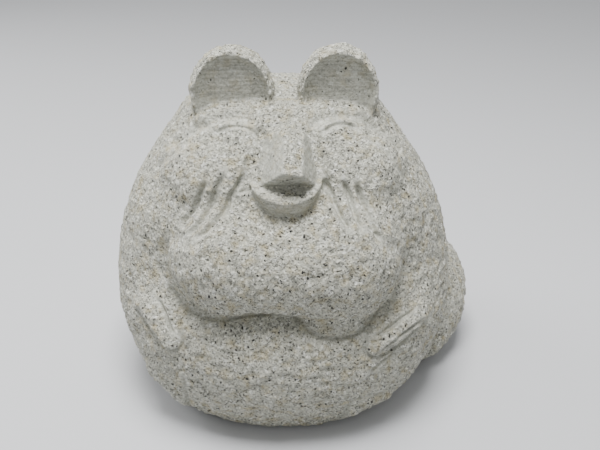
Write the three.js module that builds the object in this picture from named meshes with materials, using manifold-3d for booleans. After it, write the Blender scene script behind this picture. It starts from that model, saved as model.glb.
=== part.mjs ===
// Stone tanuki: a sitting raccoon dog, carved from one block of granite.
//
// Millimetres, +Z up. The face looks along -Y, +X is the viewer's right. The flat
// underside lies in z = 0 and the body stands over the origin, with the tail at its right.
// Shapes are given as hundredths of the height to the ear tips, so the statue scales as one.
// Cuts are given by the chisel's width and depth, in millimetres.
import * as THREE from 'three';
import { ConvexGeometry } from 'three/addons/geometries/ConvexGeometry.js';
import { mergeVertices, toCreasedNormals } from 'three/addons/utils/BufferGeometryUtils.js';
import Module from 'manifold-3d';

const wasm = await Module();
wasm.setup();
const { Manifold, Mesh } = wasm;

const STATUE_HEIGHT = 300; // underside to ear tips
const u = (share) => share * STATUE_HEIGHT / 100;

// Body section at twelve levels, underside to crown: height, half width, depth to the
// front, depth to the back, squareness (2 is an ellipse)
const LEVELS = [
  { z: 0, x: 33, f: 34.3, b: 28, n: 2.2 },
  { z: 2, x: 36.7, f: 37.3, b: 31.3, n: 2.2 },
  { z: 7.3, x: 41.3, f: 40.5, b: 36.7, n: 2.25 },
  { z: 18.3, x: 45.7, f: 45.6, b: 40.7, n: 2.25 },
  { z: 31.7, x: 47.7, f: 45, b: 42, n: 2.25 },
  { z: 46.7, x: 46, f: 36.4, b: 40.7, n: 2.25 },
  { z: 60, x: 41.3, f: 36.3, b: 37.3, n: 2.25 },
  { z: 71.7, x: 33.7, f: 32.3, b: 32.3, n: 2.25 },
  { z: 80, x: 27.7, f: 26.3, b: 25, n: 2.35 },
  { z: 84.7, x: 23.7, f: 20.7, b: 17, n: 2.5 },
  { z: 87, x: 16.7, f: 14, b: 8, n: 2.6 },
  { z: 88, x: 0, f: 0, b: 0, n: 2.6 },
];
const CORE_LOW = 20, CORE_HIGH = 63.3; // the skin is built outward from this upright core

// Rounded masses laid on the body: centre, radii
const MASSES = [
  { c: [-12.7, -24.7, 51.8], r: [17.3, 20.3, 16.7] },  // chest, viewer's left
  { c: [13, -24.7, 50.8], r: [18, 20.7, 19.3] },     // chest, viewer's right
  { c: [0.3, -24.7, 51.4], r: [20, 21, 16.6] },      // chest, middle
  { c: [-14.7, -12, 68.3], r: [17.3, 20, 14] },    // cheeks
  { c: [14.7, -12, 68.3], r: [17.3, 20, 14] },
];
const MASS_BLEND = 5, BODY_BLEND = 1.7;

// Soft hollows (depth above 0) and swellings (below 0) along lines on the skin. A point is
// a turn from the front in degrees and a level, 0 at the underside and 100 at the crown.
const HOLLOWS = [
  // Mask over each eye, and its lower line on the cheek
  { at: [[-60, 68.3], [-55, 71.8], [-50, 74.8], [-44, 78], [-38, 81.2], [-29, 82.5], [-20, 81.7]],
    half: 2.4, depth: 1.5 },
  { at: [[-66, 62.1], [-58, 65.4], [-52, 67.7], [-47, 70.6]], half: 1.9, depth: 0.7 },
  { at: [[17, 80], [24, 81.6], [32, 82.1], [42, 80.9], [50, 77], [56, 71.5], [60, 66]],
    half: 2.4, depth: 1.5 },
  { at: [[45, 71], [47, 67.8], [50, 64.1], [55, 60.7]], half: 1.7, depth: 0.6 },
  // Beside the nose
  { at: [[-13, 76.5], [-13, 72.5], [-14, 69.3], [-15, 66.8], [-16, 64.6]], half: 3, depth: 1.6 },
  { at: [[16, 76.3], [16, 72.7], [16, 69.1], [16, 65.9], [17, 64]], half: 3, depth: 1.6 },
  // Round the sides of the chest and under it
  { at: [[-31, 54.6], [-40, 52.3], [-42, 49.6], [-41, 45.9], [-38, 42.5]], half: 3, depth: 0.8 },
  { at: [[27, 54.8], [34, 51.3], [39, 46.1], [37, 43.2], [32, 41.2]], half: 3, depth: 0.8 },
  { at: [[-38, 42.6], [-30, 41], [-20, 40.6], [-13, 41.4], [-1, 42], [4, 40.8], [8, 39], [13, 38.3],
    [21, 38.3], [26, 39.6], [31, 41.6]], half: 2.6, depth: 1.5 },
  // Hands, feet
  { at: [[-50, 40.2], [-44, 39], [-40, 37.6], [-37, 36.4]], half: 4, depth: -1.7 },
  { at: [[45, 38.4], [37, 37.7], [31, 37], [28, 36.3]], half: 4, depth: -1.7 },
  { at: [[-50, 26], [-44, 23], [-41, 19]], half: 5.4, depth: -1.6 },
  { at: [[36, 21], [29, 21], [24, 19]], half: 4.6, depth: -1.5 },
];

// Ears: centre, half width, height above the centre. The rim is followed from the middle
// of the hollow front to the middle of the back: share of the radius, depth
const EARS = [
  { c: [-12.8, -14, 88.3], rx: 10.5, rz: 11.7 },
  { c: [14, -14, 88.3], rx: 10.2, rz: 11.7 },
];
const EAR_RIM = [
  [0.45, 1.5], [0.7, 1.3], [0.84, 0.5], [0.885, 0], [0.93, 0.2], [0.975, 1.3],
  [1, 3.3], [0.985, 6], [0.9, 9], [0.72, 11.3], [0.4, 12.7],
];
const EAR_MIDDLE_FRONT = 1.5, EAR_MIDDLE_BACK = 13;

// Tail, from its root at the back round to the tip at the viewer's right: centre, radius
const TAIL = [
  [2, 24, 14, 9], [18, 33, 16, 13.3], [33, 26.7, 17.7, 16], [41.3, 14, 18, 16.3],
  [43.7, 2.7, 14, 13], [41.3, -8, 8, 7.3], [39, -13.3, 4.7, 1],
];

// Nose: a ramp with a flat top and two flat sides. Lower lip: half of a bowl under a nearly
// level top.
const NOSE = [
  [0.3, -27, 84.2], [4.8, -26, 82.7], [-0.3, -37.6, 77.8], [3.9, -37.2, 76.8], [-4.2, -21.5, 81.6],
  [-4.6, -31.8, 74.7], [-7, -31.5, 71.2], [7.2, -21, 79], [8, -31.4, 71.2], [7.6, -28, 71.2],
  [-7, -28, 71.2], [6, -12, 71.2], [-6, -12, 71.2], [4, -8, 82.5], [-4, -8, 82.5],
];
const LIP = { c: [0.3, -27, 73], r: [9.3, 11.5, 11.6], top: [0, -33, 71.9], slope: 0.28 };

// Chisel cuts: V grooves along lines on the skin, width and depth in mm
const WHISKER = { width: 6, depth: 3.4 }, FINGER = { width: 4.6, depth: 2.6 };
const FOLD = { width: 5, depth: 2.6 }, LID = { width: 5, depth: 2 };
const MOUTH = { width: 4.8, depth: 2.8 };
const CUTS = [
  { tool: WHISKER, at: [[-31, 64.3], [-32, 61.9], [-33, 59.7], [-34, 58.2], [-37, 55.6]] },
  { tool: WHISKER, at: [[-25, 66.3], [-26, 63.8], [-27, 61.4], [-28, 58.4], [-31, 55.1]] },
  { tool: WHISKER, at: [[-18, 66.6], [-19, 64], [-21, 61.7], [-22, 59.2], [-27, 55.4]] },
  { tool: WHISKER, at: [[17, 65.2], [18, 62.2], [18, 59.8], [19, 57.4]] },
  { tool: WHISKER, at: [[23, 64.7], [24, 61.5], [23, 59], [23, 57.1]] },
  { tool: WHISKER, at: [[28, 63.8], [28, 61.1], [28, 58.9], [27, 56.5], [28, 54.5]] },
  { tool: LID, at: [[-36, 75], [-32, 77.3], [-27, 78.6], [-22, 78.6], [-16, 76.8]] },
  { tool: LID, at: [[21, 76.2], [26, 77.9], [32, 78.4], [37, 77], [40, 75.2]] },
  { tool: FINGER, at: [[-51, 38.8], [-48, 38.2], [-43, 37.2], [-39, 35.7]] },
  { tool: FINGER, at: [[-42, 41.4], [-39, 40], [-37, 38.8], [-35, 37.7]] },
  { tool: FINGER, at: [[-56, 39.1], [-49, 37.4], [-44, 36], [-39, 34.8], [-35, 35], [-32.5, 36.6], [-33, 38.4]] },
  { tool: FINGER, at: [[42, 39.6], [36, 39.1], [29, 38.2], [26, 37.8]] },
  { tool: FINGER, at: [[45, 37.9], [38, 37.5], [31, 36.2], [27, 35.2]] },
  { tool: FINGER, at: [[51, 36.5], [44, 36.3], [38, 35.2], [30, 34.1], [25, 34.8], [23.5, 36.6], [24.5, 38.2]] },
  { tool: FOLD, at: [[36, 33.5], [31, 33], [26, 31.5]] },
  { tool: FOLD, at: [[-34, 30.2], [-35, 26.7], [-37, 21.7], [-39, 15]] },
  { tool: FOLD, at: [[20.5, 14], [21, 21], [22.5, 24.3], [27, 24.6], [34, 23.5]] },
  { tool: MOUTH, at: [[-18.5, 62.5], [-16.5, 63], [-14.5, 63.4], [-13, 63.6]] },
  { tool: MOUTH, at: [[12.5, 63.7], [14, 63.5], [16, 63.1], [18, 62.6]] },
];
const TAIL_CUT = { along: 4.35, from: -60, to: 75, width: 5, depth: 2.6 };

// Facets
const TURN_STEP_FRONT = 3, FRONT_TURN = 66, BACK_COLUMNS = 19;
const LEVEL_ROWS = [[0, 32, 7], [32, 44, 8], [44, 56, 4], [56, 84, 17], [84, 100, 5]];
const EAR_FACETS = 24, TAIL_RINGS = 14, TAIL_FACETS = 16, LIP_FACETS = 20;
const CLEAR = 3; // how far a cutter stands proud of the skin
const CREASE = 30; // edges sharper than this many degrees are shaded sharp

const clamp = (v, lo, hi) => Math.min(Math.max(v, lo), hi);
const vec = (p) => new THREE.Vector3(u(p[0]), u(p[1]), u(p[2]));

// Smooth curve through evenly spaced values, at position q (0 is the first value)
function through(values, q) {
  const last = values.length - 1, i = clamp(Math.floor(q), 0, last - 1), t = q - i;
  const slope = (k) => (values[Math.min(k + 1, last)] - values[Math.max(k - 1, 0)])
    / (k === 0 || k === last ? 1 : 2);
  const t2 = t * t, t3 = t2 * t;
  return (2 * t3 - 3 * t2 + 1) * values[i] + (t3 - 2 * t2 + t) * slope(i)
    + (3 * t2 - 2 * t3) * values[i + 1] + (t3 - t2) * slope(i + 1);
}

function smoothMax(a, b, blend) {
  const h = clamp(0.5 + 0.5 * (a - b) / blend, 0, 1);
  return b + (a - b) * h + blend * h * (1 - h);
}

// Distance from a point inside the body out along a ray to the far side of a mass
function reach(from, along, mass) {
  const o = from.clone().sub(vec(mass.c)), r = vec(mass.r);
  o.divide(r);
  const d = along.clone().divide(r);
  const a = d.dot(d), b = o.dot(d), c = o.dot(o) - 1, disc = b * b - a * c;
  return disc > 0 ? (-b + Math.sqrt(disc)) / a : -Infinity;
}

// The skin at a turn and level before hollows: core point, outward ray, distance
function bare(turn, level) {
  const q = level / 100 * (LEVELS.length - 1), a = THREE.MathUtils.degToRad(turn);
  const [z, x, f, b, n] = ['z', 'x', 'f', 'b', 'n'].map((k) => through(LEVELS.map((s) => s[k]), q));
  const s = Math.sin(a), c = -Math.cos(a);
  const shrink = Math.pow(Math.pow(Math.abs(s), n) + Math.pow(Math.abs(c), n), 1 / n);
  const at = vec([x * s / shrink, (c < 0 ? f : b) * c / shrink, z]);
  const core = new THREE.Vector3(0, 0, clamp(at.z, u(CORE_LOW), u(CORE_HIGH)));
  const ray = at.clone().sub(core);
  let far = ray.length(), masses = -Infinity;
  ray.normalize();
  for (const mass of MASSES) {
    const r = reach(core, ray, mass);
    if (r > -Infinity) masses = masses === -Infinity ? r : smoothMax(masses, r, u(MASS_BLEND));
  }
  if (masses > -Infinity) far = smoothMax(far, masses, u(BODY_BLEND));
  return { core, ray, far };
}

const bareAt = ([turn, level]) => {
  const { core, ray, far } = bare(turn, level);
  return core.clone().addScaledVector(ray, far);
};
const hollowLines = HOLLOWS.map((h) => ({ ...h, line: h.at.map(bareAt) }));

function distanceTo(line, p) {
  let best = Infinity;
  const foot = new THREE.Vector3();
  for (let i = 0; i + 1 < line.length; i++) {
    new THREE.Line3(line[i], line[i + 1]).closestPointToPoint(p, true, foot);
    best = Math.min(best, foot.distanceTo(p));
  }
  return best;
}

function skin(turn, level) {
  const { core, ray, far } = bare(turn, level);
  const p = core.clone().addScaledVector(ray, far);
  let sunk = 0;
  for (const h of hollowLines) {
    const share = distanceTo(h.line, p) / u(h.half);
    if (share < 1) sunk += u(h.depth) * (1 - share * share) ** 2;
  }
  p.addScaledVector(ray, -sunk);
  p.z = Math.max(p.z, 0);
  return p;
}

// Closed surface from rings of points, each end drawn together in one point. Each four
// neighbours are joined across their shorter diagonal.
function closed(rings, first, last) {
  const n = rings[0].length, at = [first, ...rings.flat(), last], faces = [];
  const id = (i, j) => 1 + i * n + (j % n);
  for (let j = 0; j < n; j++) {
    faces.push(0, id(0, j + 1), id(0, j));
    faces.push(at.length - 1, id(rings.length - 1, j), id(rings.length - 1, j + 1));
  }
  for (let i = 0; i + 1 < rings.length; i++) {
    for (let j = 0; j < n; j++) {
      const a = id(i, j), b = id(i, j + 1), c = id(i + 1, j + 1), d = id(i + 1, j);
      if (at[a].distanceTo(at[c]) < at[b].distanceTo(at[d])) faces.push(a, b, c, a, c, d);
      else faces.push(a, b, d, b, c, d);
    }
  }
  const g = new THREE.BufferGeometry();
  g.setAttribute('position', new THREE.Float32BufferAttribute(at.flatMap((p) => [p.x, p.y, p.z]), 3));
  g.setIndex(faces);
  return g;
}

// A solid to join or cut with, turned the right way out
function solid(geometry) {
  const places = new THREE.BufferGeometry();
  places.setAttribute('position', geometry.attributes.position);
  places.setIndex(geometry.index);
  const g = mergeVertices(places, 1e-4);
  const make = (tris) => new Manifold(new Mesh({
    numProp: 3, vertProperties: Float32Array.from(g.attributes.position.array), triVerts: tris,
  }));
  const tris = Uint32Array.from(g.index.array);
  const m = make(tris);
  if (m.volume() > 0) return m;
  return make(Uint32Array.from(tris, (_, i) => tris[i - (i % 3) + [0, 2, 1][i % 3]]));
}

function body() {
  const turns = [], rows = [];
  for (let a = -FRONT_TURN; a < FRONT_TURN; a += TURN_STEP_FRONT) turns.push(a);
  for (let i = 0; i < BACK_COLUMNS; i++) turns.push(FRONT_TURN + i * (360 - 2 * FRONT_TURN) / BACK_COLUMNS);
  for (const [from, to, n] of LEVEL_ROWS) {
    for (let i = 0; i < n; i++) rows.push(from + i * (to - from) / n);
  }
  const rings = rows.map((level) => turns.map((turn) => skin(turn, level)));
  return closed(rings, new THREE.Vector3(0, 0, 0), skin(0, 100));
}

function ear({ c, rx, rz }) {
  const rings = EAR_RIM.map(([share, depth]) => Array.from({ length: EAR_FACETS }, (_, j) => {
    const a = 2 * Math.PI * j / EAR_FACETS;
    return vec([c[0] + rx * share * Math.cos(a), c[1] + depth, c[2] + rz * share * Math.sin(a)]);
  }));
  return closed(rings, vec([c[0], c[1] + EAR_MIDDLE_FRONT, c[2]]), vec([c[0], c[1] + EAR_MIDDLE_BACK, c[2]]));
}

// Point of the tail's surface: position along it, turn about its run (90 is the top)
function tailAt(along, turn) {
  const mid = (q) => vec([0, 1, 2].map((k) => through(TAIL.map((s) => s[k]), q)));
  const run = mid(along + 0.05).sub(mid(along - 0.05)).normalize();
  const side = run.clone().cross(new THREE.Vector3(0, 0, 1)).normalize();
  const up = side.clone().cross(run);
  const a = THREE.MathUtils.degToRad(turn), r = u(through(TAIL.map((s) => s[3]), along));
  const out = side.multiplyScalar(Math.cos(a)).addScaledVector(up, Math.sin(a));
  return { at: mid(along).addScaledVector(out, r), out };
}

function tail() {
  const end = TAIL.length - 1;
  const rings = Array.from({ length: TAIL_RINGS }, (_, i) => Array.from({ length: TAIL_FACETS },
    (_, j) => tailAt(0.05 + (end - 0.1) * i / (TAIL_RINGS - 1), 360 * j / TAIL_FACETS).at));
  return closed(rings, vec(TAIL[0]), vec(TAIL[end]));
}

// V groove cutter along a line of points with outward directions, tapered to both ends
function cutter(points, outs, { width, depth }) {
  const n = points.length - 1;
  const ring = (i) => {
    const run = points[Math.min(i + 1, n)].clone().sub(points[Math.max(i - 1, 0)]).normalize();
    const side = run.clone().cross(outs[i]).normalize();
    const full = Math.min(1, 2.2 * Math.sin(Math.PI * i / n));
    const place = (s, h) => points[i].clone().addScaledVector(side, s * full).addScaledVector(outs[i], h);
    const wide = width / 2 * (depth + CLEAR) / depth, low = CLEAR - (depth + CLEAR) * full;
    return [place(-wide, CLEAR), place(-width * 0.12, low), place(width * 0.12, low), place(wide, CLEAR)];
  };
  const rings = [];
  for (let i = 1; i < n; i++) rings.push(ring(i));
  const tip = (i) => points[i].clone().addScaledVector(outs[i], CLEAR);
  return closed(rings, tip(0), tip(n));
}

function skinCut({ tool, at }) {
  const steps = 3 * (at.length - 1);
  const points = [], outs = [];
  for (let i = 0; i <= steps; i++) {
    const q = i / 3, turn = through(at.map((p) => p[0]), q), level = through(at.map((p) => p[1]), q);
    const across = bareAt([turn + 1, level]).sub(bareAt([turn - 1, level]));
    const upward = bareAt([turn, level + 0.6]).sub(bareAt([turn, level - 0.6]));
    points.push(skin(turn, level));
    outs.push(across.cross(upward).normalize());
  }
  return cutter(points, outs, tool);
}

function tailCut() {
  const points = [], outs = [], n = 10;
  for (let i = 0; i <= n; i++) {
    const { at, out } = tailAt(TAIL_CUT.along, TAIL_CUT.from + (TAIL_CUT.to - TAIL_CUT.from) * i / n);
    points.push(at);
    outs.push(out);
  }
  return cutter(points, outs, TAIL_CUT);
}

// A half space as a large block under or over a plane through a point
function block(at, normal) {
  const size = 4 * STATUE_HEIGHT, g = new THREE.BoxGeometry(size, size, size);
  g.translate(0, 0, size / 2);
  g.applyQuaternion(new THREE.Quaternion().setFromUnitVectors(new THREE.Vector3(0, 0, 1), normal));
  g.translate(at.x, at.y, at.z);
  return solid(g);
}

function lip() {
  const g = new THREE.SphereGeometry(1, LIP_FACETS, LIP_FACETS / 2);
  g.rotateX(Math.PI / 2).scale(...vec(LIP.r).toArray()).translate(...vec(LIP.c).toArray());
  const over = new THREE.Vector3(0, -LIP.slope, 1).normalize();
  return solid(g).subtract(block(vec(LIP.top), over));
}


let stone = solid(body());
for (const e of EARS) stone = stone.add(solid(ear(e)));
stone = stone.add(solid(tail())).add(solid(new ConvexGeometry(NOSE.map(vec)))).add(lip());
for (const cut of CUTS) stone = stone.subtract(solid(skinCut(cut)));
stone = stone.subtract(solid(tailCut()));
stone = stone.subtract(block(new THREE.Vector3(0, 0, 0), new THREE.Vector3(0, 0, -1)));

const cut = stone.getMesh();
const shared = new THREE.BufferGeometry();
shared.setAttribute('position', new THREE.Float32BufferAttribute(cut.vertProperties, 3));
shared.setIndex([...cut.triVerts]);
const geometry = toCreasedNormals(shared, THREE.MathUtils.degToRad(CREASE));

const granite = new THREE.MeshStandardMaterial({ color: '#b4b1a8', roughness: 0.85 });
const statue = new THREE.Mesh(geometry, granite);
statue.name = 'tanuki_statue';

const group = new THREE.Group();
group.add(statue);
export default group;
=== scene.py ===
"""A sitting tanuki carved from one block of pale speckled granite.

The body is bush-hammered, which leaves a pitted, frosted skin. Ear fronts, mask, nose, mouth
and chisel cuts are ground with a disc, which leaves the stone smoother and greyer. Metres,
+Z up, the face looks along -Y. Shapes are hundredths of the height to the ear tips, as in
the solid.
"""

import math

import bmesh
import bpy
import numpy as np
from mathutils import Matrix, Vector


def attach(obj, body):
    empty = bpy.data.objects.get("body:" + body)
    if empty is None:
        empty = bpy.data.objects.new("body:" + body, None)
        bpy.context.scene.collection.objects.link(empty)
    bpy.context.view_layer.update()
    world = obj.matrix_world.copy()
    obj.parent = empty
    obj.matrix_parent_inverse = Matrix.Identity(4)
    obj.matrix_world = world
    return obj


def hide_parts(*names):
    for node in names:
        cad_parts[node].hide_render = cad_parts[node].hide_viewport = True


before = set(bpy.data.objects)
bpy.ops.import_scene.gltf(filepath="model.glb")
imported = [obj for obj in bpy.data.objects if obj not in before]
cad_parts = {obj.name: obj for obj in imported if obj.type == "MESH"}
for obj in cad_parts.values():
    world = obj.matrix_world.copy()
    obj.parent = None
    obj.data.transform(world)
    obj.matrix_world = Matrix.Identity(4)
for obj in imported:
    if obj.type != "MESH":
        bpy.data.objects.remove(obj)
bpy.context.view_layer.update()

STATUE_HEIGHT = 0.300
SHARE = STATUE_HEIGHT / 100
MM = 0.001

# Form: the body's section at twelve levels, underside to crown
LEVEL_Z = [0, 2, 7.3, 18.3, 31.7, 46.7, 60, 71.7, 80, 84.7, 87, 88]
HALF_WIDTH = [33, 36.7, 41.3, 45.7, 47.7, 46, 41.3, 33.7, 27.7, 23.7, 16.7, 0]
FRONT_DEPTH = [34.3, 37.3, 40.5, 45.6, 45, 36.4, 36.3, 32.3, 26.3, 20.7, 14, 0]
BACK_DEPTH = [28, 31.3, 36.7, 40.7, 42, 40.7, 37.3, 32.3, 25, 17, 8, 0]
SQUARENESS = [2.2, 2.2, 2.25, 2.25, 2.25, 2.25, 2.25, 2.25, 2.35, 2.5, 2.6, 2.6]
CORE_LOW, CORE_HIGH = 20, 63.3

# Rounded masses on the body: centre, radii
MASSES = [
    ((-12.7, -24.7, 51.8), (17.3, 20.3, 16.7)),  # chest, viewer's left
    ((13, -24.7, 50.8), (18, 20.7, 19.3)),       # chest, viewer's right
    ((0.3, -24.7, 51.4), (20, 21, 16.6)),        # chest, middle
    ((-14.7, -12, 68.3), (17.3, 20, 14)),        # cheeks
    ((14.7, -12, 68.3), (17.3, 20, 14)),
]
MASS_BLEND, BODY_BLEND = 5, 1.7

# Soft hollows (depth above 0) and swellings (below 0): points as turn in degrees from the
# front and level from 0 to 100, half width, depth, and how far the disc ground it
HOLLOWS = [
    # Mask over each eye, and its lower line on the cheek
    ([(-60, 68.3), (-55, 71.8), (-50, 74.8), (-44, 78), (-38, 81.2), (-29, 82.5), (-20, 81.7)],
     2.4, 1.5, 0.7),
    ([(-66, 62.1), (-58, 65.4), (-52, 67.7), (-47, 70.6)], 1.9, 0.7, 0.5),
    ([(17, 80), (24, 81.6), (32, 82.1), (42, 80.9), (50, 77), (56, 71.5), (60, 66)],
     2.4, 1.5, 0.75),
    ([(45, 71), (47, 67.8), (50, 64.1), (55, 60.7)], 1.7, 0.6, 0.5),
    # Beside the nose
    ([(-13, 76.5), (-13, 72.5), (-14, 69.3), (-15, 66.8), (-16, 64.6)], 3, 1.6, 0.15),
    ([(16, 76.3), (16, 72.7), (16, 69.1), (16, 65.9), (17, 64)], 3, 1.6, 0.15),
    # Round the sides of the chest and under it
    ([(-31, 54.6), (-40, 52.3), (-42, 49.6), (-41, 45.9), (-38, 42.5)], 3, 0.8, 0.2),
    ([(27, 54.8), (34, 51.3), (39, 46.1), (37, 43.2), (32, 41.2)], 3, 0.8, 0.2),
    ([(-38, 42.6), (-30, 41), (-20, 40.6), (-13, 41.4), (-1, 42), (4, 40.8), (8, 39), (13, 38.3),
      (21, 38.3), (26, 39.6), (31, 41.6)], 2.6, 1.5, 0.2),
    # Hands, feet
    ([(-50, 40.2), (-44, 39), (-40, 37.6), (-37, 36.4)], 4, -1.7, 0),
    ([(45, 38.4), (37, 37.7), (31, 37), (28, 36.3)], 4, -1.7, 0),
    ([(-50, 26), (-44, 23), (-41, 19)], 5.4, -1.6, 0),
    ([(36, 21), (29, 21), (24, 19)], 4.6, -1.5, 0),
]
# Raised rims round the tops of the closed eyes
EYE_RIMS = [
    ([(-36, 76.3), (-33, 78.5), (-28, 80), (-23, 80), (-17, 78.5), (-14, 76.6)], 0.9, -0.3),
    ([(19, 77.3), (25, 79.2), (32, 80), (37, 78.6), (40.5, 76.5)], 0.9, -0.3),
]

# Ears: centre, half width, height above the centre. The rim is followed from the middle of
# the hollow front to the middle of the back: share of the radius, depth
EARS = [((-12.8, -14, 88.3), 10.5, 11.7), ((14, -14, 88.3), 10.2, 11.7)]
EAR_RIM = [(0, 1.5), (0.45, 1.5), (0.7, 1.3), (0.84, 0.5), (0.885, 0), (0.93, 0.2),
           (0.975, 1.3), (1, 3.3), (0.985, 6), (0.9, 9), (0.72, 11.3), (0.4, 12.7), (0, 13)]

# Tail from its root round to the tip: centre, radius
TAIL = [(2, 24, 14, 9), (18, 33, 16, 13.3), (33, 26.7, 17.7, 16), (41.3, 14, 18, 16.3),
        (43.7, 2.7, 14, 13), (41.3, -8, 8, 7.3), (39, -13.3, 4.7, 1)]
TAIL_CUT_ALONG, TAIL_CUT_FROM, TAIL_CUT_TO = 4.35, -60, 75    # place along it, turns about it

# Nose: a ramp with a flat top and two flat sides. Lip: centre, radii, and its sloping top.
NOSE = [(0.3, -27, 84.2), (4.8, -26, 82.7), (-0.3, -37.6, 77.8), (3.9, -37.2, 76.8),
        (-4.2, -21.5, 81.6), (-4.6, -31.8, 74.7), (-7, -31.5, 71.2), (7.2, -21, 79),
        (8, -31.4, 71.2), (7.6, -28, 71.2), (-7, -28, 71.2), (6, -12, 71.2), (-6, -12, 71.2),
        (4, -8, 82.5), (-4, -8, 82.5)]
LIP_CENTRE, LIP_RADII = (0.3, -27, 73), (9.3, 11.5, 11.6)
LIP_TOP, LIP_SLOPE = (0, -33, 71.9), 0.28
LIP_START = 4            # its rays start this far below its centre

# Chisel cuts on the skin: width and depth in mm
WHISKER, FINGER, FOLD, LID = (6.4, 4.4), (4.6, 2.8), (5, 2.8), (5, 2)
MOUTH, CREASE, TAIL_CUT = (5, 2.8), (4.4, 1.6), (5.4, 2.8)
CUTS = [
    (WHISKER, [(-31, 64.3), (-32, 61.9), (-33, 59.7), (-34, 58.2), (-37, 55.6)]),
    (WHISKER, [(-25, 66.3), (-26, 63.8), (-27, 61.4), (-28, 58.4), (-31, 55.1)]),
    (WHISKER, [(-18, 66.6), (-19, 64), (-21, 61.7), (-22, 59.2), (-27, 55.4)]),
    (WHISKER, [(17, 65.2), (18, 62.2), (18, 59.8), (19, 57.4)]),
    (WHISKER, [(23, 64.7), (24, 61.5), (23, 59), (23, 57.1)]),
    (WHISKER, [(28, 63.8), (28, 61.1), (28, 58.9), (27, 56.5), (28, 54.5)]),
    (LID, [(-36, 75), (-32, 77.3), (-27, 78.6), (-22, 78.6), (-16, 76.8)]),
    (LID, [(21, 76.2), (26, 77.9), (32, 78.4), (37, 77), (40, 75.2)]),
    (FINGER, [(-51, 38.8), (-48, 38.2), (-43, 37.2), (-39, 35.7)]),
    (FINGER, [(-42, 41.4), (-39, 40), (-37, 38.8), (-35, 37.7)]),
    (FINGER, [(-56, 39.1), (-49, 37.4), (-44, 36), (-39, 34.8), (-35, 35), (-32.5, 36.6),
              (-33, 38.4)]),
    (FINGER, [(42, 39.6), (36, 39.1), (29, 38.2), (26, 37.8)]),
    (FINGER, [(45, 37.9), (38, 37.5), (31, 36.2), (27, 35.2)]),
    (FINGER, [(51, 36.5), (44, 36.3), (38, 35.2), (30, 34.1), (25, 34.8), (23.5, 36.6),
              (24.5, 38.2)]),
    (FOLD, [(36, 33.5), (31, 33), (26, 31.5)]),
    (FOLD, [(-34, 30.2), (-35, 26.7), (-37, 21.7), (-39, 15)]),
    (FOLD, [(20.5, 14), (21, 21), (22.5, 24.3), (27, 24.6), (34, 23.5)]),
    (MOUTH, [(-18.5, 62.5), (-16.5, 63), (-14.5, 63.4), (-13, 63.6)]),
    (MOUTH, [(12.5, 63.7), (14, 63.5), (16, 63.1), (18, 62.6)]),
    (CREASE, [(-40, 43.6), (-37, 42.2), (-30, 40.8), (-20, 40.4), (-13, 41.2), (-1, 41.8),
              (4, 40.6), (8, 38.9), (13, 38.1), (21, 38.1), (26, 39.4), (31, 41.4), (35, 44)]),
]

# Grids on which the forms are laid out before they are fused
BODY_TURN_STEP, BODY_LEVELS = 0.6, 330
EAR_RINGS, EAR_COLUMNS = 90, 160
TAIL_RINGS, TAIL_TURN_STEP = 160, 2.5
LIP_RINGS, LIP_COLUMNS = 70, 120
CUT_STEPS, TAIL_CUT_POINTS = 6, 20    # points along a cut, for each stretch or in all

# Surface: one skin round all of it at this grid, eased, then thinned where it is plain
VOXEL = 1.0 * MM
EASE, EASE_PASSES = 0.5, 3
MOST_TRIANGLES = 190_000
FINE_MARGIN = 1.5                     # mm beside a cut that aren't thinned

# Hammered relief, each layer a noise of its own: cell and depth in mm, seed
UNEVEN = (34, 0.5, 1)
DENTS = [(9, 1.7, 2), (5, 1.5, 3)]
DENT_EDGE = 0.3                       # size of the noise at which a dent begins
PECKS = (3.1, 0.65, 4)
STREAKS = ((11, 11, 3.2), 0.9, 5)
STREAKS_BELOW = (150, 90)             # mm up where they begin and where they are full
STREAKS_AHEAD = (-20, 40)             # and mm in front of the middle
TAKEN_OFF = 0.85                      # share of the relief that the disc took off

# Where the disc ground the stone. Beside a line: how far out, in half widths of a hollow or
# widths of a cut, and over what share of that it fades. On the face: boxes by their low and
# high corners in hundredths, AHEAD being in front of all stone.
HOLLOW_OUT, HOLLOW_FADE = 1.15, 0.5
CUT_OUT, CUT_FADE, CUT_SHARE = 0.75, 0.6, 0.9
EAR_FRONT, EAR_FRONT_FROM, EAR_FRONT_TO = 0.9, -1, 6   # share of its radius; mm behind the rim
AHEAD = -60
NOSE_LEFT = ((-6.2, AHEAD, 72.5), (0.6, -24, 83))
NOSE_RIGHT = ((3, AHEAD, 72.5), (7.8, -24, 83))
NOSE_UNDERSIDE = ((-8, AHEAD, 71.5), (8, -31, 78.2))
MOUTH_SLOT, SLOT_SHARE = ((-9, -34.3, 71), (9, -31.5, 73)), 0.7
LIP_FRONT, LIP_SKIN = ((-9, AHEAD, 62.56), (9.6, -32.5, 72)), 0.88
MUZZLE = ((-10, AHEAD, 62), (10, -24, 85))             # never thinned


def points(shares):
    """Points given in hundredths of the height, in metres."""
    return np.asarray(shares, float) * SHARE


def through(values, q):
    """Cubic curve through evenly spaced values, at positions q: each stretch takes its end
    slopes from the values on either side (Catmull-Rom)."""
    v = np.asarray(values, float)
    slope = np.gradient(v, axis=0)
    i = np.clip(np.floor(q).astype(int), 0, len(v) - 2)
    t = q - i
    if v.ndim > 1:
        t = t[..., None]
    t2, t3 = t * t, t * t * t
    return ((2 * t3 - 3 * t2 + 1) * v[i] + (t3 - 2 * t2 + t) * slope[i]
            + (3 * t2 - 2 * t3) * v[i + 1] + (t3 - t2) * slope[i + 1])


def smooth_max(a, b, blend):
    """The larger of a and b, rounded over where they differ by less than blend."""
    h = np.clip(0.5 + 0.5 * (a - b) / blend, 0, 1)
    return b + (a - b) * h + blend * h * (1 - h)


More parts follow.
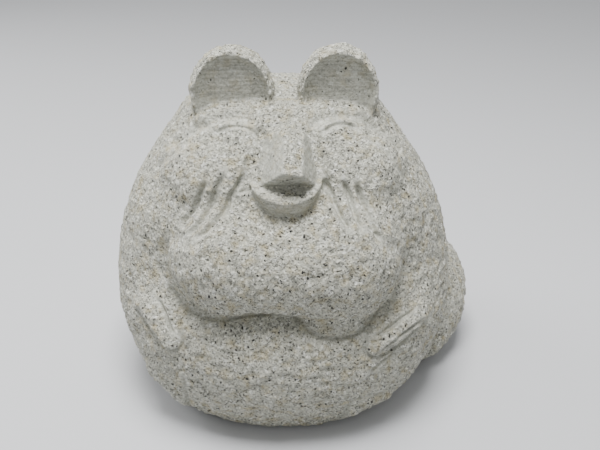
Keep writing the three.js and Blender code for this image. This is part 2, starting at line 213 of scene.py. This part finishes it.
def reach(start, ray, centre, radii):
    """Distance along a ray to the far side of an ellipsoid: the larger root of
    |(start + s * ray - centre) / radii| = 1, or -1 where the ray misses it."""
    o, d = (start - points(centre)) / points(radii), ray / points(radii)
    a, b, c = (d * d).sum(-1), (o * d).sum(-1), (o * o).sum(-1) - 1
    root = b * b - a * c
    return np.where(root > 0, (-b + np.sqrt(np.maximum(root, 0))) / a, -1.0)


def bare(turn, level):
    """The skin before its hollows, by turn in degrees and level from 0 to 100: a squared
    oval section through the profile curves, pushed out along rays from an upright core to
    clear the rounded masses. Gives the core point, the ray and the distance."""
    q = level / 100 * (len(LEVEL_Z) - 1)
    z, x, f, b, n = (through(v, q) for v in
                     (LEVEL_Z, HALF_WIDTH, FRONT_DEPTH, BACK_DEPTH, SQUARENESS))
    s, c = np.sin(np.radians(turn)), -np.cos(np.radians(turn))
    shrink = (np.abs(s) ** n + np.abs(c) ** n) ** (1 / n)
    at = points(np.stack([x * s / shrink, np.where(c < 0, f, b) * c / shrink, z], -1))
    core = np.zeros_like(at)
    core[..., 2] = np.clip(at[..., 2], CORE_LOW * SHARE, CORE_HIGH * SHARE)
    far = np.linalg.norm(at - core, axis=-1)
    ray = (at - core) / far[..., None]
    masses = np.full(far.shape, -1.0)
    for centre, radii in MASSES:
        r = reach(core, ray, centre, radii)
        both = smooth_max(masses, r, MASS_BLEND * SHARE)
        masses = np.where(masses < 0, r, np.where(r < 0, masses, both))
    far = np.where(masses > 0, smooth_max(far, masses, BODY_BLEND * SHARE), far)
    return core, ray, far


def on_bare(turn_level):
    """Points of the bare skin at (turn, level) pairs."""
    t = np.asarray(turn_level, float)
    core, ray, far = bare(t[:, 0], t[:, 1])
    return core + ray * far[:, None]


def from_line(p, line):
    """Distance of each point to a line of points, and how far along it the foot lies (0 to 1)."""
    step = np.diff(line, axis=0)
    length = np.linalg.norm(step, axis=1)
    start = np.concatenate([[0], np.cumsum(length)])
    best, along = np.full(p.shape[:-1], 1e9), np.zeros(p.shape[:-1])
    for i in range(len(step)):
        t = np.clip(((p - line[i]) @ step[i]) / length[i] ** 2, 0, 1)
        d = np.linalg.norm(p - line[i] - t[..., None] * step[i], axis=-1)
        nearer = d < best
        best = np.where(nearer, d, best)
        along = np.where(nearer, (start[i] + t * length[i]) / start[-1], along)
    return best, along


def near(p, line, margin):
    """Numbers of the points inside the box round a line, widened by a margin, with their
    distance to the line and their place along it."""
    inside = ((p > line.min(0) - margin) & (p < line.max(0) + margin)).all(-1)
    i = np.nonzero(inside)
    return i, *from_line(p[i], line)


HOLLOW_LINES = [(on_bare(at), half * SHARE, depth * SHARE, ground)
                for at, half, depth, ground in HOLLOWS + [(*rim, 0) for rim in EYE_RIMS]]


def skin(turn, level):
    """The carved skin: the bare skin, sunk along its rays by a rounded bell across each
    hollow line."""
    core, ray, far = bare(turn, level)
    p = core + ray * far[..., None]
    sunk = np.zeros_like(far)
    for line, half, depth, _ground in HOLLOW_LINES:
        i, d, _along = near(p, line, half)
        sunk[i] += depth * np.clip(1 - (d / half) ** 2, 0, 1) ** 2
    p = p - ray * sunk[..., None]
    p[..., 2] = np.maximum(p[..., 2], 0)
    return p


def closed_grid(grid):
    """Vertices and faces of a surface closed round its columns, its first and last rows
    each drawn to one point."""
    rows, cols, _ = grid.shape
    verts = np.concatenate([grid[0].mean(0)[None], grid[1:-1].reshape(-1, 3),
                            grid[-1].mean(0)[None]])
    j = np.arange(cols)
    k = (j + 1) % cols
    inner = rows - 2
    r = 1 + np.arange(inner - 1)[:, None] * cols
    quads = np.stack([r + j, r + k, r + cols + k, r + cols + j], -1).reshape(-1, 4)
    last = 1 + (inner - 1) * cols
    caps = [(0, 1 + b, 1 + a) for a, b in zip(j.tolist(), k.tolist())]
    caps += [(last + cols, last + a, last + b) for a, b in zip(j.tolist(), k.tolist())]
    return verts, quads.tolist() + caps


def body_grid():
    """The skin over all turns and levels."""
    turn = np.arange(0, 360, BODY_TURN_STEP)
    level = np.concatenate([[0], np.linspace(0.02, 99.9, BODY_LEVELS), [100]])
    grid = skin(*np.broadcast_arrays(turn[None, :], level[:, None]))
    grid[0] = (0, 0, 0)
    return grid


def ear_grid(centre, half_width, height):
    """The rim profile carried round an ellipse in the upright plane."""
    rim = through(EAR_RIM, np.linspace(0, len(EAR_RIM) - 1, EAR_RINGS))
    a = np.linspace(0, 2 * math.pi, EAR_COLUMNS, endpoint=False)
    share, depth = rim[:, :1], rim[:, 1:]
    return points(np.stack([centre[0] + half_width * share * np.cos(a), centre[1] + depth + 0 * a,
                            centre[2] + height * share * np.sin(a)], -1))


def tail_at(along, turn):
    """Points of the tail: circles of the given radius across a smooth line, turned so that
    90 degrees is the top. Also gives the outward direction."""
    rows = through(TAIL, along)
    run = through(TAIL, along + 0.05)[..., :3] - through(TAIL, along - 0.05)[..., :3]
    run /= np.linalg.norm(run, axis=-1, keepdims=True)
    side = np.cross(run, (0, 0, 1))
    side /= np.linalg.norm(side, axis=-1, keepdims=True)
    up = np.cross(side, run)
    a = np.radians(turn)[..., None]
    out = side * np.cos(a) + up * np.sin(a)
    return points(rows[..., :3] + rows[..., 3:] * out), out


def tail_grid():
    """The tail's surface from root to tip, each end drawn in to its middle line."""
    along = np.linspace(0.05, len(TAIL) - 1.05, TAIL_RINGS)
    turn = np.arange(0, 360, TAIL_TURN_STEP)
    grid, _out = tail_at(*np.broadcast_arrays(along[:, None], turn[None, :]))
    ends = points([TAIL[0][:3], TAIL[-1][:3]])
    full = np.concatenate([grid[:1], grid, grid[-1:]])
    full[0], full[-1] = ends[0], ends[1]
    return full


def lip_grid():
    """An ellipsoid followed out from a point low inside it, stopped at the sloping top plane."""
    pole = np.linspace(0, math.pi, LIP_RINGS)
    turn = np.linspace(0, 2 * math.pi, LIP_COLUMNS, endpoint=False)
    pole, turn = np.broadcast_arrays(pole[:, None], turn[None, :])
    ray = np.stack([np.sin(pole) * np.cos(turn), np.sin(pole) * np.sin(turn), np.cos(pole)], -1)
    centre = points(LIP_CENTRE) - (0, 0, LIP_START * SHARE)
    far = reach(np.broadcast_to(centre, ray.shape), ray, LIP_CENTRE, LIP_RADII)
    over = np.array((0, -LIP_SLOPE, 1)) / math.hypot(LIP_SLOPE, 1)
    lift = (points(LIP_TOP) - centre) @ over
    facing = ray @ over
    far = np.where(facing > 0, np.minimum(far, lift / np.maximum(facing, 1e-6)), far)
    return centre + ray * far[..., None]


def nose_wedge():
    """The convex hull of the nose's corners."""
    bm = bmesh.new()
    for corner in points(NOSE):
        bm.verts.new(corner)
    bmesh.ops.convex_hull(bm, input=bm.verts)
    bm.verts.index_update()
    verts = np.array([v.co for v in bm.verts])
    faces = [[v.index for v in f.verts] for f in bm.faces]
    bm.free()
    return verts, faces


def joined(parts):
    """One list of vertices and one of faces from several."""
    verts, faces, base = [], [], 0
    for v, f in parts:
        verts.append(v)
        faces += [[i + base for i in face] for face in f]
        base += len(v)
    return np.concatenate(verts), faces


def finished(obj):
    """The mesh with its modifiers applied, which then come off."""
    shown = obj.evaluated_get(bpy.context.evaluated_depsgraph_get())
    mesh = bpy.data.meshes.new_from_object(shown)
    obj.modifiers.clear()
    old, obj.data = obj.data, mesh
    bpy.data.meshes.remove(old)
    return mesh


def read(mesh, what):
    """Vertex positions ("vertices", "co") or normals ("vertex_normals", "vector") as an array."""
    out = np.empty(len(mesh.vertices) * 3, np.float32)
    getattr(mesh, what[0]).foreach_get(what[1], out)
    return out.reshape(-1, 3).astype(float)


def corner_values(corners, seed):
    """A fixed value from -1 to 1 for each whole-numbered corner. Its three numbers are mixed
    into one of 32 bits by large primes, shifts and exclusive ors."""
    i, bits = corners.astype(np.uint64), np.uint64(0xFFFFFFFF)
    h = ((i[:, 0] * np.uint64(73856093)) ^ (i[:, 1] * np.uint64(19349663))
         ^ (i[:, 2] * np.uint64(83492791)))
    h = (h ^ np.uint64(seed * 2654435761)) & bits
    for shift, prime in ((15, 2246822519), (13, 3266489917)):
        h = ((h ^ (h >> np.uint64(shift))) * np.uint64(prime)) & bits
    h = h ^ (h >> np.uint64(16))
    return h.astype(float) / 2 ** 31 - 1


def lattice(p, cell, seed):
    """Smooth noise from -1 to 1: a fixed value at each corner of a grid of cells in mm,
    blended across each cell with an S curve."""
    q = p / np.multiply(cell, MM)
    low = np.floor(q).astype(np.int64)
    t = step_up(q - low, 0, 1)
    total = np.zeros(len(p))
    for corner in range(8):
        bit = np.array([(corner >> k) & 1 for k in range(3)])
        total += corner_values(low + bit, seed) * np.prod(np.where(bit, t, 1 - t), axis=1)
    return total


def step_up(x, low, high):
    """0 below low, 1 above high, an S curve between."""
    t = np.clip((x - low) / (high - low), 0, 1)
    return t * t * (3 - 2 * t)


def cut_lines():
    """Every chisel cut as a fine line of points with its width and depth."""
    lines = []
    for tool, at in CUTS:
        fine = through(at, np.linspace(0, len(at) - 1, CUT_STEPS * (len(at) - 1) + 1))
        lines.append((skin(fine[:, 0], fine[:, 1]), tool))
    turn = np.linspace(TAIL_CUT_FROM, TAIL_CUT_TO, TAIL_CUT_POINTS)
    lines.append((tail_at(np.full(len(turn), TAIL_CUT_ALONG), turn)[0], TAIL_CUT))
    return lines


def cut_depth(p, lines):
    """How deep the cuts are at each point: a V across each line, a little rounded, that dies
    out at its ends."""
    total = np.zeros(len(p))
    for line, (width, depth) in lines:
        i, d, along = near(p, line, width * MM)
        across = np.clip(1 - d / (0.5 * width * MM), 0, 1)
        groove = depth * MM * (0.4 * across + 0.6 * step_up(across, 0, 1))
        ends = np.clip(2.4 * np.sin(math.pi * along), 0, 1)
        total[i] = np.maximum(total[i], groove * ends)
    return total


def within(p, box):
    """True for the points, in hundredths of the height, inside a box."""
    low, high = box
    return ((p > low) & (p < high)).all(-1)


def grind(ground, p, line, out, share, fade):
    """Raises how far the disc ground the points beside a line, less and less on the way out."""
    i, d, _along = near(p, line, out)
    ground[i] = np.maximum(ground[i], share * step_up(1 - d / out, 0, fade))


def ground_share(p, normal, lines):
    """How far the disc ground each point: cuts, hollows, ear fronts, the nose's sides and
    underside, the mouth and the lip's front."""
    ground = np.zeros(len(p))
    for line, half, _depth, share in HOLLOW_LINES:
        grind(ground, p, line, HOLLOW_OUT * half, share, HOLLOW_FADE)
    for line, (width, _depth) in lines:
        grind(ground, p, line, CUT_OUT * width * MM, CUT_SHARE, CUT_FADE)
    for centre, half_width, height in EARS:
        x, y, z = (p - points(centre)).T
        inside = np.hypot(x / (half_width * SHARE), z / (height * SHARE)) < EAR_FRONT
        inside &= (y > EAR_FRONT_FROM * MM) & (y < EAR_FRONT_TO * MM)
        ground[inside & (normal[:, 1] < -0.6)] = 1

    # Each place on the face is told from the stone round it by the way it looks
    at = p / SHARE
    to_right, _to_back, upward = normal.T
    from_lip = (((at - LIP_CENTRE) / LIP_RADII) ** 2).sum(-1)
    ground[within(at, NOSE_LEFT) & (to_right < -0.5)] = 1
    ground[within(at, NOSE_RIGHT) & (to_right > 0.6)] = 1
    ground[within(at, MOUTH_SLOT) & (upward > 0.5)] = SLOT_SHARE
    ground[within(at, NOSE_UNDERSIDE) & (upward < -0.25)] = 1
    ground[within(at, LIP_FRONT) & (upward < 0.3) & (from_lip > LIP_SKIN)] = 1
    return ground


def kept_fine(p, lines):
    """True beside a cut and on the nose and lip."""
    fine = within(p / SHARE, MUZZLE)
    for line, (width, _depth) in lines:
        i, d, _along = near(p, line, width * MM)
        fine[i] |= d < (0.5 * width + FINE_MARGIN) * MM
    return fine


def hammered(p, ground):
    """Height of the worked surface over the smooth skin: a slow unevenness all over, and
    where the disc left it, dents with ridges between them, pecks, and level streaks low on
    the front."""
    def layer(cell, depth, seed):
        return depth * lattice(p, cell, seed)

    dents = sum(depth * (DENT_EDGE - np.abs(lattice(p, cell, seed))) for cell, depth, seed in DENTS)
    low = (step_up(-p[:, 2], *(-h * MM for h in STREAKS_BELOW))
           * step_up(-p[:, 1], *(d * MM for d in STREAKS_AHEAD)))
    cell, depth, seed = STREAKS
    streaks = low * depth * lattice(p, cell, seed)
    left = 1 - TAKEN_OFF * ground
    return (layer(*UNEVEN) + left * (dents + layer(*PECKS) + streaks)) * MM


def carved_stone():
    """All forms fused into one skin, then cut and textured along its normals."""
    parts = [closed_grid(grid) for grid in (body_grid(), tail_grid(), lip_grid())]
    parts += [nose_wedge()] + [closed_grid(ear_grid(*ear)) for ear in EARS]
    verts, faces = joined(parts)
    mesh = bpy.data.meshes.new("tanuki_stone")
    mesh.from_pydata(verts, [], faces)
    obj = bpy.data.objects.new("tanuki_stone", mesh)
    bpy.context.collection.objects.link(obj)

    fuse = obj.modifiers.new("fuse", "REMESH")
    fuse.mode, fuse.voxel_size, fuse.adaptivity = "VOXEL", VOXEL, 0
    ease = obj.modifiers.new("ease", "SMOOTH")
    ease.factor, ease.iterations = EASE, EASE_PASSES
    mesh = finished(obj)

    p, normal = read(mesh, ("vertices", "co")), read(mesh, ("vertex_normals", "vector"))
    lines = cut_lines()
    ground = ground_share(p, normal, lines)
    p += normal * (hammered(p, ground) - cut_depth(p, lines))[:, None]
    p[:, 2] = np.maximum(p[:, 2], 0)
    mesh.vertices.foreach_set("co", p.ravel())
    kept = mesh.attributes.new("ground", "FLOAT", "POINT")
    kept.data.foreach_set("value", ground.astype(np.float32))
    mesh.update()

    # The plain parts of the skin are thinned, the cuts, the nose and the lip keep their grid
    plain = obj.vertex_groups.new(name="plain")
    plain.add(np.nonzero(~kept_fine(p, lines))[0].tolist(), 1, "REPLACE")
    tris = sum(len(f.vertices) - 2 for f in mesh.polygons)
    thin = obj.modifiers.new("thin", "DECIMATE")
    thin.ratio, thin.vertex_group = min(1, MOST_TRIANGLES / tris), "plain"
    mesh = finished(obj)
    obj.vertex_groups.clear()
    mesh.polygons.foreach_set("use_smooth", np.ones(len(mesh.polygons), bool))
    mesh.update()
    return obj


def linear(hex_colour):
    """sRGB hex to linear RGBA."""
    c = [int(hex_colour[i:i + 2], 16) / 255 for i in (1, 3, 5)]
    return [x / 12.92 if x <= 0.04045 else ((x + 0.055) / 1.055) ** 2.4 for x in c] + [1]


def add(tree, kind, inputs=None, stops=(), **settings):
    """Adds a node, sets its settings, a ramp's (position, colour) stops, and sets or links
    its inputs."""
    node = tree.nodes.new(kind)
    for name, value in settings.items():
        setattr(node, name, value)
    while stops and len(node.color_ramp.elements) < len(stops):
        node.color_ramp.elements.new(0.5)
    for n, (position, colour) in enumerate(stops):
        node.color_ramp.elements[n].position = position
        node.color_ramp.elements[n].color = linear(colour)
    for key, value in (inputs or {}).items():
        if isinstance(value, bpy.types.NodeSocket):
            tree.links.new(value, node.inputs[key])
        else:
            node.inputs[key].default_value = value
    return node


def calculated(tree, operation, *values):
    """The result of a Math node."""
    return add(tree, "ShaderNodeMath", dict(enumerate(values)), operation=operation).outputs[0]


def ranged(tree, value, start, end):
    """A value carried from the range start into the range end and held there."""
    limits = dict(zip(("From Min", "From Max", "To Min", "To Max"), (*start, *end)))
    return add(tree, "ShaderNodeMapRange", {"Value": value, **limits}).outputs[0]


def mixed(tree, factor, a, b, blend="MIX"):
    """Two colours mixed, or the first multiplied by the second."""
    return add(tree, "ShaderNodeMix", {"Factor": factor, "A": a, "B": b},
               data_type="RGBA", blend_type=blend).outputs["Result"]


def granite():
    """Pale biotite granite: white and cream feldspar and grey quartz in grains of 2 to 3 mm,
    ochre stains, and black mica flecks of 1 to 2 mm, often in clusters. The hammered skin
    is frosted and bright, the ground places greyer and smoother. Scales count cells to the
    metre."""
    mat = bpy.data.materials.new("granite_bush_hammered")
    mat.use_nodes = True
    tree = mat.node_tree
    tree.nodes.clear()
    at = add(tree, "ShaderNodeTexCoord").outputs["Object"]
    ground = add(tree, "ShaderNodeAttribute", attribute_name="ground").outputs["Fac"]

    # Grain edges wander by about 1 mm
    wander = add(tree, "ShaderNodeTexNoise", {"Vector": at, "Scale": 420.0, "Detail": 2.0})
    shift = add(tree, "ShaderNodeVectorMath",
                {0: wander.outputs["Color"], 1: (0.0030, 0.0030, 0.0030)}, operation="MULTIPLY")
    bent = add(tree, "ShaderNodeVectorMath", {0: at, 1: shift.outputs[0]},
               operation="ADD").outputs[0]

    # Feldspar and quartz, one value for each grain of about 2 mm
    grain = add(tree, "ShaderNodeTexVoronoi", {"Vector": bent, "Scale": 500.0})
    pick = add(tree, "ShaderNodeSeparateColor", {"Color": grain.outputs["Color"]})
    spars = add(tree, "ShaderNodeValToRGB", {"Fac": pick.outputs["Red"]},
                [(0, "#a6a699"), (0.14, "#c3c2b3"), (0.4, "#d2d1c1"), (0.8, "#dfdece"),
                 (1, "#f8f8ee")])

    # Ochre where iron has bled into the feldspar, in patches of a few grains
    broad = add(tree, "ShaderNodeTexNoise", {"Vector": bent, "Scale": 120.0, "Detail": 3.0})
    bled = ranged(tree, broad.outputs["Fac"], (0.5, 0.7), (0, 0.65))
    pale = mixed(tree, bled, spars.outputs["Color"], linear("#c2b488"))

    # Ground stone is more even in colour
    evened = calculated(tree, "MULTIPLY", ground, 0.45)
    pale = mixed(tree, evened, pale, linear("#cccbc0"))

    # Mica flecks, thicker in some places than in others and fewer where ground: a grain is
    # one if its lot is over a limit, which is lower in a crowd
    crowd = add(tree, "ShaderNodeTexNoise", {"Vector": at, "Scale": 70.0, "Detail": 3.0})
    limit = ranged(tree, crowd.outputs["Fac"], (0.38, 0.66), (0.985, 0.915))
    limit = calculated(tree, "MULTIPLY_ADD", ground, 0.035, limit)
    cell = add(tree, "ShaderNodeTexVoronoi", {"Vector": bent, "Scale": 520.0})
    lot = add(tree, "ShaderNodeSeparateColor", {"Color": cell.outputs["Color"]})
    chosen = calculated(tree, "GREATER_THAN", lot.outputs["Green"], limit)
    close = ranged(tree, cell.outputs["Distance"], (0.52, 0.45), (0, 1))
    fleck = calculated(tree, "MULTIPLY", chosen, close)
    mica = mixed(tree, lot.outputs["Blue"], linear("#141312"), linear("#3d382d"))
    speckled = mixed(tree, fleck, pale, mica)

    # Crushed crystals, half a millimetre in the stone, drawn at 1 mm to show
    crush = add(tree, "ShaderNodeTexVoronoi", {"Vector": at, "Scale": 1000.0})
    spark = add(tree, "ShaderNodeSeparateColor", {"Color": crush.outputs["Color"]})
    lift = add(tree, "ShaderNodeValToRGB", {"Fac": spark.outputs["Red"]},
               [(0, "#747474"), (0.26, "#d2d2d2"), (0.8, "#f4f4f4"), (1, "#ffffff")])
    crushed = calculated(tree, "MULTIPLY_ADD", ground, -0.5, 1.0)
    speckled = mixed(tree, crushed, speckled, lift.outputs["Color"], "MULTIPLY")

    # Ground places lose the white frosting and show the disc's level strokes
    long = add(tree, "ShaderNodeVectorMath", {0: at, 1: (60, 60, 620)}, operation="MULTIPLY")
    stroke = add(tree, "ShaderNodeTexNoise",
                 {"Vector": long.outputs[0], "Scale": 1.0, "Detail": 2.0})
    worn = add(tree, "ShaderNodeValToRGB", {"Fac": stroke.outputs["Fac"]},
               [(0.36, "#b6b7b6"), (0.64, "#d3d4d3")])
    grey = mixed(tree, ground, (1, 1, 1, 1), worn.outputs["Color"])
    colour = mixed(tree, 1.0, speckled, grey, "MULTIPLY")

    # Fine pits left between the hammer's points, from about 3 mm across down
    chips = add(tree, "ShaderNodeTexVoronoi", {"Vector": bent, "Scale": 360.0})
    grit = add(tree, "ShaderNodeTexNoise",
               {"Vector": bent, "Scale": 300.0, "Detail": 4.0, "Roughness": 0.75})
    pits = calculated(tree, "MULTIPLY_ADD", chips.outputs["Distance"], 0.35, grit.outputs["Fac"])
    strength = ranged(tree, ground, (0, 1), (1, 0.3))
    bump = add(tree, "ShaderNodeBump", {"Height": pits, "Strength": strength, "Distance": 0.0052})
    sheen = ranged(tree, pick.outputs["Blue"], (0, 1), (0.3, 0.9))

    shader = add(tree, "ShaderNodeBsdfPrincipled",
                 {"Base Color": colour, "Roughness": sheen, "Normal": bump.outputs[0], "IOR": 1.54})
    add(tree, "ShaderNodeOutputMaterial", {"Surface": shader.outputs[0]})
    return mat


def floor_paint():
    """Plain pale matt floor."""
    mat = bpy.data.materials.new("pale_matt_floor")
    mat.use_nodes = True
    shader = mat.node_tree.nodes["Principled BSDF"]
    shader.inputs["Base Color"].default_value = linear("#bcbdbf")
    shader.inputs["Roughness"].default_value = 0.9
    return mat


statue = carved_stone()
statue.data.materials.clear()
statue.data.materials.append(granite())
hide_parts("tanuki_statue")
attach(statue, "root")

FLOOR_HALF = 6
floor_mesh = bpy.data.meshes.new("floor")
floor_mesh.from_pydata([(x * FLOOR_HALF, y * FLOOR_HALF, 0)
                        for x, y in ((-1, -1), (1, -1), (1, 1), (-1, 1))], [], [(0, 1, 2, 3)])
floor = bpy.data.objects.new("floor", floor_mesh)
floor.data.materials.append(floor_paint())
bpy.context.collection.objects.link(floor)

# Camera, from above as in the photo. The statue faces a little to its right.
TURN, PITCH = math.radians(2.2), math.radians(28)
DISTANCE, AIM_HEIGHT, ASIDE = 0.657, 0.134, 0.0143
LENS, SENSOR = 45, 36
LIT_POINT = (0, 0, 0.14)


def turned(x, y, z):
    """A place given square to the camera, in the statue's frame."""
    s, c = math.sin(TURN), math.cos(TURN)
    return Vector((x * c + y * s, y * c - x * s, z))


def aimed(name, data, where, aim):
    """An object at a place, turned to a point."""
    obj = bpy.data.objects.new(name, data)
    obj.location = where
    obj.rotation_euler = (Vector(aim) - obj.location).to_track_quat("-Z", "Y").to_euler()
    bpy.context.collection.objects.link(obj)
    return obj


def soft_light(name, where, size, power):
    """A square softbox turned to the statue's middle."""
    light = bpy.data.lights.new(name, "AREA")
    light.shape, light.size, light.energy = "SQUARE", size, power
    aimed(name, light, where, LIT_POINT)


view = bpy.data.cameras.new("camera")
view.lens, view.sensor_width = LENS, SENSOR
behind, above = DISTANCE * math.cos(PITCH), DISTANCE * math.sin(PITCH)
bpy.context.scene.camera = aimed("camera", view, turned(ASIDE, -behind, AIM_HEIGHT + above),
                                 turned(ASIDE, 0, AIM_HEIGHT))

soft_light("ceiling", (-0.05, -0.25, 1.5), 0.6, 46)
soft_light("window_left", (-1.3, 0.7, 0.9), 1.0, 16)
world = bpy.data.worlds.new("studio")
world.use_nodes = True
world.node_tree.nodes["Background"].inputs["Color"].default_value = linear("#e2e3e4")
world.node_tree.nodes["Background"].inputs["Strength"].default_value = 0.8
bpy.context.scene.world = world
